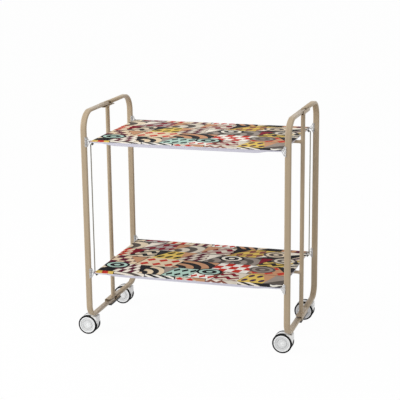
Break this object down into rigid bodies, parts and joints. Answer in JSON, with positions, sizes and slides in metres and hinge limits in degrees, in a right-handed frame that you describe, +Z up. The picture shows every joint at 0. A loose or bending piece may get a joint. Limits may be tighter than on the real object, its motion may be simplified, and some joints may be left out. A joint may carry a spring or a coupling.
{
  "type": "folding serving trolley",
  "caption": "Folding serving trolley with tubular side loops, tilting trays tied by rods, and swivel casters.",
  "frame": {"origin": "centre of the trolley's outline on the floor, casters included", "axes": "+X along the trays to the right, +Y to the rear, +Z up"},
  "size_m": [0.705, 0.4178, 0.7322],
  "materials": {
    "beige_lacquer": "satin",
    "printed_laminate": "satin",
    "clear_plastic": "satin",
    "black_plastic": "matte",
    "grey_wire": "satin",
    "zinc_steel": "satin",
    "white_plastic": "satin",
    "grey_plastic": "satin",
    "black_rubber": "matte"
  },
  "bodies": {
    "frame": {"left_middle_post": "beige_lacquer", "left_top_bracket": "beige_lacquer", "left_bottom_bracket": "beige_lacquer", "left_bottom_pad": "black_plastic", "front_left_half_frame": "beige_lacquer", "front_left_caster_stem": "zinc_steel", "rear_left_half_frame": "beige_lacquer", "rear_left_caster_stem": "zinc_steel", "right_middle_post": "beige_lacquer", "right_top_bracket": "beige_lacquer", "right_bottom_bracket": "beige_lacquer", "right_bottom_pad": "black_plastic", "front_right_half_frame": "beige_lacquer", "front_right_caster_stem": "zinc_steel", "rear_right_half_frame": "beige_lacquer", "rear_right_caster_stem": "zinc_steel", "upper_cross_bar": "beige_lacquer", "upper_front_left_corner_clip": "clear_plastic", "upper_rear_left_corner_clip": "clear_plastic", "upper_front_right_corner_clip": "clear_plastic", "upper_rear_right_corner_clip": "clear_plastic", "lower_cross_bar": "beige_lacquer", "lower_front_left_corner_clip": "clear_plastic", "lower_rear_left_corner_clip": "clear_plastic", "lower_front_right_corner_clip": "clear_plastic", "lower_rear_right_corner_clip": "clear_plastic"},
    "upper_tray": {"upper_tray": "printed_laminate", "upper_left_hinge_clip": "clear_plastic", "upper_right_hinge_clip": "clear_plastic", "upper_front_left_rod_eye": "black_plastic", "upper_rear_right_rod_eye": "black_plastic"},
    "lower_tray": {"lower_tray": "printed_laminate", "lower_left_hinge_clip": "clear_plastic", "lower_right_hinge_clip": "clear_plastic", "lower_front_left_rod_eye": "black_plastic", "lower_rear_right_rod_eye": "black_plastic"},
    "front_left_tie_rod": {"front_left_tie_rod": "grey_wire"},
    "rear_right_tie_rod": {"rear_right_tie_rod": "grey_wire"},
    "front_left_caster": {"front_left_caster_hood": "white_plastic"},
    "front_left_caster_front_wheel": {"front_left_caster_front_hub": "grey_plastic", "front_left_caster_front_tyre": "black_rubber"},
    "front_left_caster_rear_wheel": {"front_left_caster_rear_hub": "grey_plastic", "front_left_caster_rear_tyre": "black_rubber"},
    "rear_left_caster": {"rear_left_caster_hood": "white_plastic"},
    "rear_left_caster_front_wheel": {"rear_left_caster_front_hub": "grey_plastic", "rear_left_caster_front_tyre": "black_rubber"},
    "rear_left_caster_rear_wheel": {"rear_left_caster_rear_hub": "grey_plastic", "rear_left_caster_rear_tyre": "black_rubber"},
    "front_right_caster": {"front_right_caster_hood": "white_plastic"},
    "front_right_caster_front_wheel": {"front_right_caster_front_hub": "grey_plastic", "front_right_caster_front_tyre": "black_rubber"},
    "front_right_caster_rear_wheel": {"front_right_caster_rear_hub": "grey_plastic", "front_right_caster_rear_tyre": "black_rubber"},
    "rear_right_caster": {"rear_right_caster_hood": "white_plastic"},
    "rear_right_caster_front_wheel": {"rear_right_caster_front_hub": "grey_plastic", "rear_right_caster_front_tyre": "black_rubber"},
    "rear_right_caster_rear_wheel": {"rear_right_caster_rear_hub": "grey_plastic", "rear_right_caster_rear_tyre": "black_rubber"}
  },
  "joints": [
    {"name": "upper_tray_tilt", "type": "hinge", "parent": "frame", "child": "upper_tray", "pos_m": [0.02048, 0, 0.6275], "axis": [1, 0, 0], "range_deg": [0, 86]},
    {"name": "lower_tray_tilt", "type": "hinge", "parent": "frame", "child": "lower_tray", "pos_m": [0.02048, 0, 0.2085], "axis": [1, 0, 0], "range_deg": [0, 86]},
    {"name": "front_left_rod_turn", "type": "hinge", "parent": "upper_tray", "child": "front_left_tie_rod", "pos_m": [-0.28442, -0.186, 0.6275], "axis": [1, 0, 0], "range_deg": [-86, 0]},
    {"name": "rear_right_rod_turn", "type": "hinge", "parent": "upper_tray", "child": "rear_right_tie_rod", "pos_m": [0.32538, 0.186, 0.6275], "axis": [1, 0, 0], "range_deg": [-86, 0]},
    {"name": "front_left_caster_swivel", "type": "hinge", "parent": "frame", "child": "front_left_caster", "pos_m": [-0.29952, -0.1565, 0.06], "axis": [0, 0, 1], "continuous": true},
    {"name": "front_left_caster_front_wheel_spin", "type": "hinge", "parent": "front_left_caster", "child": "front_left_caster_front_wheel", "pos_m": [-0.32153, -0.1695, 0.031], "axis": [0, 1, 0], "continuous": true},
    {"name": "front_left_caster_rear_wheel_spin", "type": "hinge", "parent": "front_left_caster", "child": "front_left_caster_rear_wheel", "pos_m": [-0.32153, -0.1435, 0.031], "axis": [0, 1, 0], "continuous": true},
    {"name": "rear_left_caster_swivel", "type": "hinge", "parent": "frame", "child": "rear_left_caster", "pos_m": [-0.29952, 0.1565, 0.06], "axis": [0, 0, 1], "continuous": true},
    {"name": "rear_left_caster_front_wheel_spin", "type": "hinge", "parent": "rear_left_caster", "child": "rear_left_caster_front_wheel", "pos_m": [-0.32153, 0.1435, 0.031], "axis": [0, 1, 0], "continuous": true},
    {"name": "rear_left_caster_rear_wheel_spin", "type": "hinge", "parent": "rear_left_caster", "child": "rear_left_caster_rear_wheel", "pos_m": [-0.32153, 0.1695, 0.031], "axis": [0, 1, 0], "continuous": true},
    {"name": "front_right_caster_swivel", "type": "hinge", "parent": "frame", "child": "front_right_caster", "pos_m": [0.34048, -0.1565, 0.06], "axis": [0, 0, 1], "continuous": true},
    {"name": "front_right_caster_front_wheel_spin", "type": "hinge", "parent": "front_right_caster", "child": "front_right_caster_front_wheel", "pos_m": [0.31848, -0.1695, 0.031], "axis": [0, 1, 0], "continuous": true},
    {"name": "front_right_caster_rear_wheel_spin", "type": "hinge", "parent": "front_right_caster", "child": "front_right_caster_rear_wheel", "pos_m": [0.31848, -0.1435, 0.031], "axis": [0, 1, 0], "continuous": true},
    {"name": "rear_right_caster_swivel", "type": "hinge", "parent": "frame", "child": "rear_right_caster", "pos_m": [0.34048, 0.1565, 0.06], "axis": [0, 0, 1], "continuous": true},
    {"name": "rear_right_caster_front_wheel_spin", "type": "hinge", "parent": "rear_right_caster", "child": "rear_right_caster_front_wheel", "pos_m": [0.31848, 0.1435, 0.031], "axis": [0, 1, 0], "continuous": true},
    {"name": "rear_right_caster_rear_wheel_spin", "type": "hinge", "parent": "rear_right_caster", "child": "rear_right_caster_rear_wheel", "pos_m": [0.31848, 0.1695, 0.031], "axis": [0, 1, 0], "continuous": true}
  ],
  "couplings": [
    {"joint": "lower_tray_tilt", "follows": "upper_tray_tilt", "ratio": 1},
    {"joint": "front_left_rod_turn", "follows": "upper_tray_tilt", "ratio": -1},
    {"joint": "rear_right_rod_turn", "follows": "upper_tray_tilt", "ratio": -1}
  ]
}
